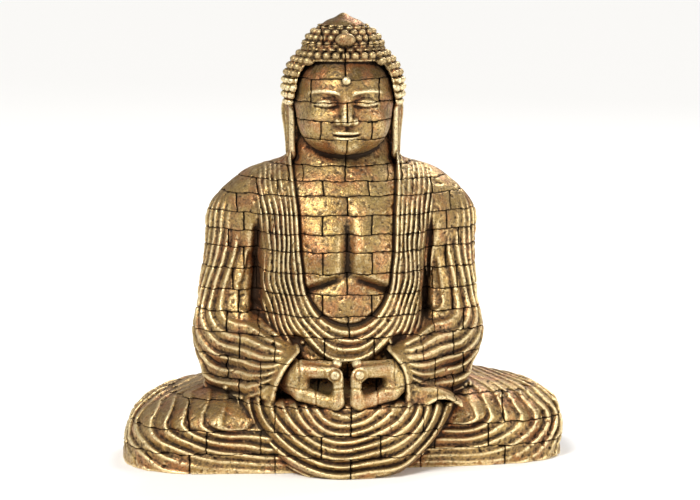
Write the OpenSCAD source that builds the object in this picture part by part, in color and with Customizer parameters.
// Seated buddha statue, built of cast blocks in level courses.
// Millimetres. +Z is up, the figure faces -Y, and the origin is the middle of the base.

/* [Overall size] */
// Width across the knees
statue_w = 160; // [144:1:176]
// Depth from the drape to the back of the seat
statue_d = 102; // [92:1:112]
// Height from the base to the top of the cap
statue_h = 160; // [144:1:176]

/* [Joints] */
// Width of the open joint between two blocks of one course
joint_gap = 0.2; // [0.1:0.05:0.5]
// Places of the outer upright joints, as a share of the usual place
joint_spread = 1; // [0.9:0.02:1.06]

/* [Hands] */
// Width of one hand
hand_w = 17.4; // [15:0.1:17.6]
// Height of one hand
hand_h = 17; // [14:0.5:17]
// Depth of a hand in front of the waist
hand_d = 14; // [10:0.5:15]
// Depth of the hollow that the fingers curl around
palm_depth = 4; // [1:0.5:6]

/* [Head] */
// Length of an ear, from its top to the tip of the lobe
ear_h = 20.4; // [17:0.2:20.4]
// Thickness of an ear
ear_t = 3.6; // [2.5:0.1:4]
// Width of the oval jewel in front of the topknot
jewel_w = 7; // [5:0.5:8]
// Width of the dot on the forehead
dot_w = 3.2; // [2:0.2:4]

/* [Hidden] */
scale_x = statue_w / 160;
scale_y = statue_d / 102;
scale_z = statue_h / 160;

// Bed joint levels of the four groups of courses, at the usual height.
LAP_BEDS = [0, 7, 15, 24.5, 32];
WAIST_BEDS = [32, 39.5, 47.5, 54.5, 62];
CHEST_BEDS = [62, 69.5, 77, 83, 89.5, 96, 101, 106];
HEAD_BEDS = [106, 116, 122.5, 129, 137, 149, 155, 160];
HEAD_NAMES = ["neck", "chin", "cheeks", "brow", "hair", "topknot", "cap"];

lap_count = len(LAP_BEDS) - 1;
waist_count = len(WAIST_BEDS) - 1;
chest_count = len(CHEST_BEDS) - 1;

GOLD = "goldenrod";
PALE_GOLD = "khaki";
DARK_GOLD = "darkgoldenrod";

// --- The figure's forms. Each is a rounded section that changes with height: tables of
// [height, value]. A section is [middle x, middle y, half width, half depth, roundness].

LEG_HALF_W = [
    [0, 79.6], [3.5, 80], [8, 80], [12, 79.8], [16, 79], [21, 77], [24.5, 73], [28, 64], [32, 48], [34, 32]
];
LEG_HALF_D = [[0, 41.5], [7, 42], [16, 40.5], [24.5, 35], [32, 26], [34, 22]];
// The back of the seat is the rearmost point, half the depth behind the middle.
LEG_Y = 51 - 42;
DRAPE_HALF_W = [[0, 31], [7, 33], [15, 35], [24.5, 35], [32, 30], [36, 22]];
DRAPE_FRONT = [[0, -51], [7, -51], [15, -50.5], [24.5, -49.5], [24.6, -36], [30, -36], [36, -33]];
DRAPE_BACK = [[0, 20]];
TORSO_HALF_W = [
    [24, 34], [40, 33], [62, 34], [83, 36], [96, 36],
    [101, 33], [104, 27], [106, 21], [110, 17.5], [116, 15.5]
];
TORSO_FRONT = [
    [24, -32], [40, -31], [50, -28], [62, -27], [75, -28], [83, -26], [96, -20],
    [106, -13], [110, -10], [116, -7]
];
TORSO_BACK = [[24, 44], [40, 42], [62, 38], [83, 37], [96, 31], [106, 20], [116, 17]];
ARM_OUT = [
    [32, 51], [42, 52], [50, 52], [60, 51.5], [72, 50.5], [85, 49], [92, 47],
    [97, 44], [101, 38], [103, 30], [106, 10]
];
ARM_R = [[32, 15], [50, 15], [62, 13.5], [85, 13], [97, 11], [103, 8], [106, 6]];
ARM_Y = [[32, 2], [50, 4], [85, 8], [106, 8]];

// The forearm runs from the elbow to the wrist in plan, as a row of round sections.
FOREARM_STEPS = 5;
FOREARM_TOP = 60;
ELBOW = [38, -4];
WRIST = [24, -26];
ELBOW_R = [[30, 15], [44, 14], [54, 9], [60, 3]];
WRIST_R = [[30, 10], [40, 9.6], [50, 6], [60, 2]];

HEAD_HALF_W = [
    [114, 9], [117, 12.5], [122.5, 16], [129, 17.6], [129.1, 21.4], [134, 22], [140, 22], [144, 20.5],
    [149, 16], [150, 15.6], [155, 9.6]
];
HEAD_FRONT = [
    [114, -16], [117, -20], [122.5, -22.5], [129, -23], [137, -21.8], [143, -20],
    [149, -16.6], [150, -16.6], [155, -10.6]
];
HEAD_BACK = [
    [114, 12], [122.5, 17], [129, 19], [129.1, 19.6], [140, 21], [144, 20], [149, 15], [155, 8.6]
];

function spread_section(z, half_w, front, back, n) =
    let (f = lookup(z, front), b = lookup(z, back))
    [0, (f + b) / 2, lookup(z, half_w), (b - f) / 2, n];

function arm_section(z) =
    let (r = lookup(z, ARM_R))
    [lookup(z, ARM_OUT) - r, lookup(z, ARM_Y), r, r * 1.15, 2];

function forearm_sections(z) = [
    for (i = [0:FOREARM_STEPS])
        let (t = i / FOREARM_STEPS, p = ELBOW + (WRIST - ELBOW) * t)
        let (r = lookup(z, ELBOW_R) * (1 - t) + lookup(z, WRIST_R) * t)
        [p[0], p[1], r, r, 2]
];

// All the sections that a level plane at height z cuts, for the right half of the figure.
function sections(z) = concat(
    z <= 34 ? [[0, LEG_Y, lookup(z, LEG_HALF_W), lookup(z, LEG_HALF_D), 3]] : [],
    z <= 36 ? [spread_section(z, DRAPE_HALF_W, DRAPE_FRONT, DRAPE_BACK, 2.4)] : [],
    z >= 24 && z <= 116 ? [spread_section(z, TORSO_HALF_W, TORSO_FRONT, TORSO_BACK, 2.3)] : [],
    z >= 30 && z <= 106 ? [arm_section(z)] : [],
    z >= 30 && z <= FOREARM_TOP ? forearm_sections(z) : [],
    z >= 114 ? [spread_section(z, HEAD_HALF_W, HEAD_FRONT, HEAD_BACK, 2.2)] : []
);

function half_depth_at(s, x) =
    s[3] * pow(max(0, 1 - pow(min(1, abs(x - s[0]) / s[2]), s[4])), 1 / s[4]);
function reaches(s, x) = abs(x - s[0]) <= s[2] + 0.0001;
function front_at(cuts, x) = min([for (s = cuts) if (reaches(s, x)) s[1] - half_depth_at(s, x)]);
function back_at(cuts, x) = max([for (s = cuts) if (reaches(s, x)) s[1] + half_depth_at(s, x)]);
function half_width(cuts) = max([for (s = cuts) s[0] + s[2]]);

// --- Blocks. A block is the part of a course between two upright joints, x from x_in to
// x_out. A block with no x_out runs out to the figure's own edge.

INNER_COLUMNS = 8;
EDGE_COLUMNS = 11;

function column_share(i, n, to_edge) = to_edge ? sin(90 * i / n) : i / n;

function ring_points(z, x_in, x_out, n) =
    let (cuts = sections(z), to_edge = is_undef(x_out))
    let (x_end = to_edge ? half_width(cuts) : x_out)
    let (xs = [for (i = [0:n]) x_in + (x_end - x_in) * column_share(i, n, to_edge)])
    concat(
        [for (i = [0:n]) [xs[i], front_at(cuts, abs(xs[i])), z]],
        [for (i = [0:to_edge ? n - 1 : n]) [xs[i], back_at(cuts, abs(xs[i])), z]]
    );

function strip(a, b, c, d) = [[a, b, c], [a, c, d]];

module block(levels, x_in, x_out) {
    to_edge = is_undef(x_out);
    n = to_edge ? EDGE_COLUMNS : INNER_COLUMNS;
    per_ring = to_edge ? 2 * n + 1 : 2 * n + 2;
    top = len(levels) - 1;
    points = [for (z = levels) each ring_points(z, x_in, x_out, n)];
    // The outline runs along the front, then back along the rear face to the first joint.
    outline = concat([for (i = [0:n]) i], [for (i = [per_ring - 1:-1:n + 1]) i]);
    m = len(outline);
    walls = [
        for (k = [0:top - 1])
            for (i = [0:m - 1])
                let (a = k * per_ring, p = outline[i], q = outline[(i + 1) % m])
                each strip(a + p, a + per_ring + p, a + per_ring + q, a + q)
    ];
    last_quad = to_edge ? n - 2 : n - 1;
    base_cap = [
        for (i = [0:last_quad]) each strip(i, i + 1, n + 2 + i, n + 1 + i),
        if (to_edge) [n - 1, n, 2 * n]
    ];
    t = top * per_ring;
    top_cap = [for (f = base_cap) [t + f[2], t + f[1], t + f[0]]];
    scale([scale_x, scale_y, scale_z])
        polyhedron(points, concat(walls, base_cap, top_cap), convexity = 6);
}

// Ring heights of one course: its two beds, and what bends between them.
function levels_of(beds, k) = [beds[k - 1], (beds[k - 1] + beds[k]) / 2, beds[k]];

// A step in the outline takes this much height, next to the bed joint that it starts from.
STEP_LIP = 0.1;
function stepped_levels(beds, k) =
    [beds[k - 1], beds[k - 1] + STEP_LIP, (beds[k - 1] + beds[k]) / 2, beds[k]];

// The drape's top is a ledge below the top course of the lap, and the hands stand on it.
LEDGE_Z = LAP_BEDS[3] + STEP_LIP;
function lap_levels(k) = k == lap_count ? stepped_levels(LAP_BEDS, k) : levels_of(LAP_BEDS, k);

// The hair overhangs the cheeks, with the ears below it.
HAIR_Z = HEAD_BEDS[3];
function head_levels(k) =
    HEAD_NAMES[k - 1] == "brow" ? stepped_levels(HEAD_BEDS, k) : levels_of(HEAD_BEDS, k);

// A row of blocks between the upright joints in xs, which are open by the joint gap.
module block_row(levels, xs) {
    last = len(xs) - 2;
    for (i = [0:last])
        block(levels, xs[i] + (i == 0 ? 0 : joint_gap / 2), xs[i + 1] - (i == last ? 0 : joint_gap / 2));
}

// The blocks of one side: an inner one up to x_joint, and one that ends at the figure's edge.
module side_blocks(levels, x_in, x_joint, side) {
    mirror([side == "left" ? 1 : 0, 0, 0]) {
        block(levels, x_in, x_joint - joint_gap / 2);
        block(levels, x_joint + joint_gap / 2);
    }
}

// Upright joints are staggered: each course has them at other places than the one below.
function staggered(k, even, odd) = (k % 2 == 0 ? even : odd) * joint_spread;

// The joints inside the middle of a course: one on the centre line, or one on each side of it.
function middle_joints(k, edge) = k % 2 == 1 ? [-edge, 0, edge] : [-edge, -edge / 3, edge / 3, edge];

// --- Courses.

function lap_edge(k) = staggered(k, 31, 26);
function waist_edge(k) = staggered(k, 26, 31);
// The shoulders narrow to the neck, and the joints move in with them.
CHEST_EDGES = [31, 26, 31, 26, 30, 24, 15];
CHEST_OUTER = [40, 36, 41, 36, 38, 31, 20];

module knee(k, side) {
    color(GOLD) side_blocks(lap_levels(k), lap_edge(k), k == lap_count ? 38 : staggered(k, 50, 56), side);
}

module drape(k) {
    color(DARK_GOLD) block_row(lap_levels(k), middle_joints(k, lap_edge(k)));
}

module sleeve(k, side) {
    color(GOLD) side_blocks(levels_of(WAIST_BEDS, k), waist_edge(k), staggered(k, 38, 42), side);
}

module waist(k) {
    color(DARK_GOLD) block_row(levels_of(WAIST_BEDS, k), middle_joints(k, waist_edge(k)));
}

function chest_edge(k) = CHEST_EDGES[k - 1] * joint_spread;

module mantle(k, side) {
    color(GOLD)
        side_blocks(levels_of(CHEST_BEDS, k), chest_edge(k), CHEST_OUTER[k - 1] * joint_spread, side);
}

module chest(k) {
    color(PALE_GOLD) block_row(levels_of(CHEST_BEDS, k), middle_joints(k, chest_edge(k)));
}

// A course of the head is a middle block with one on each side, or two halves where the
// joint is on the centre line.
HEAD_JOINTS = [0, 9, 0, 12, 0, 8];

module head_course(k) {
    levels = head_levels(k);
    middle = HEAD_JOINTS[k - 1];
    for (side = ["left", "right"])
        mirror([side == "left" ? 1 : 0, 0, 0]) block(levels, middle + joint_gap / 2);
    if (middle > 0) block(levels, joint_gap / 2 - middle, middle - joint_gap / 2);
}

module neck() { color(PALE_GOLD) head_course(1); }
module chin() { color(PALE_GOLD) head_course(2); }
module cheeks() { color(PALE_GOLD) head_course(3); }
module brow() { color(PALE_GOLD) head_course(4); }
module hair() { color(DARK_GOLD) head_course(5); }
module topknot() { color(DARK_GOLD) head_course(6); }

// The cap is one round casting that comes to a blunt point.
CAP_Y = -1;
CAP_PROFILE = [[0, 0], [9.4, 0], [9, 1.2], [7.4, 2.6], [5, 3.7], [2.6, 4.6], [1, 5], [0, 5]];

module cap() {
    color(DARK_GOLD)
        scale([scale_x, scale_y, scale_z])
            translate([0, CAP_Y, HEAD_BEDS[6]]) rotate_extrude($fn = 40) polygon(CAP_PROFILE);
}

// --- Hands: fingers curled into a ring, with a flat back against the waist.

HAND_BACK_Y = -36;
HAND_GAP = 1.2;
PALM_LIFT = 7;

module hand(side) {
    color(PALE_GOLD)
        scale([scale_x, scale_y, scale_z])
            mirror([side == "left" ? 1 : 0, 0, 0])
                translate([HAND_GAP / 2 + hand_w / 2, HAND_BACK_Y, LEDGE_Z + hand_h / 2])
                    difference() {
                        hand_mass();
                        translate([-hand_w * 0.22, -hand_d - 1, PALM_LIFT - hand_h / 2])
                            cube([hand_w * 0.46, palm_depth + 1, hand_h * 0.34]);
                    }
}

// Rounded slab that narrows to the front.
module hand_mass() {
    r = hand_h * 0.36;
    hull() {
        hand_layer(0, 0, r);
        hand_layer(hand_d * 0.6, 0, r);
        hand_layer(hand_d, r * 0.45, r * 0.55);
    }
}

module hand_layer(depth, inset, r) {
    thin = 0.4;
    for (sx = [-1, 1]) for (sz = [-1, 1])
        translate([sx * (hand_w / 2 - r - inset), thin - depth, sz * (hand_h / 2 - r - inset)])
            rotate([90, 0, 0]) cylinder(r = r, h = thin, $fn = 32);
}

// --- Ears and ornaments.

EAR_X = 17.7;
EAR_Y = 1;
EAR_TOP_R = 4.6;
EAR_LOBE_R = 2.4;

module ear(side) {
    color(GOLD)
        scale([scale_x, scale_y, scale_z])
            mirror([side == "left" ? 1 : 0, 0, 0])
                translate([EAR_X, EAR_Y, HAIR_Z])
                    hull() {
                        translate([0, 0, -EAR_TOP_R]) ear_disc(EAR_TOP_R);
                        translate([0, -1, EAR_LOBE_R - ear_h]) ear_disc(EAR_LOBE_R);
                    }
}

module ear_disc(r) {
    rotate([0, 90, 0]) cylinder(r = r, h = ear_t, $fn = 32);
}

// A low dome that stands on z = 0.
module dome(r, h) {
    steps = 8;
    rotate_extrude($fn = 32)
        polygon(concat([[0, 0]], [for (i = [0:steps]) [r * cos(90 * i / steps), h * sin(90 * i / steps)]]));
}

DOT_Z = 137;
DOT_H = 1;

module forehead_dot() {
    color(DARK_GOLD)
        translate([0, scale_y * lookup(DOT_Z, HEAD_FRONT), scale_z * DOT_Z])
            rotate([90, 0, 0]) dome(dot_w / 2, DOT_H);
}

JEWEL_Z = 152;
JEWEL_TILT = 40;
JEWEL_H = 2.4;

module crown_jewel() {
    short_r = jewel_w * 0.38;
    color(PALE_GOLD)
        translate([0, scale_y * lookup(JEWEL_Z, HEAD_FRONT), scale_z * JEWEL_Z])
            rotate([JEWEL_TILT, 0, 0])
                hull()
                    for (side = [-1, 1])
                        translate([side * (jewel_w / 2 - short_r), 0, 0]) dome(short_r, JEWEL_H);
}

for (k = [1:lap_count]) for (side = ["left", "right"])
    knee(k, side);
for (k = [1:lap_count])
    drape(k);
for (k = [1:waist_count]) for (side = ["left", "right"])
    sleeve(k, side);
for (k = [1:waist_count])
    waist(k);
for (k = [1:chest_count]) for (side = ["left", "right"])
    mantle(k, side);
for (k = [1:chest_count])
    chest(k);
neck();
chin();
cheeks();
brow();
hair();
topknot();
cap();
hand("left");  // hand_left
hand("right");  // hand_right
ear("left");  // ear_left
ear("right");  // ear_right
forehead_dot();
crown_jewel();
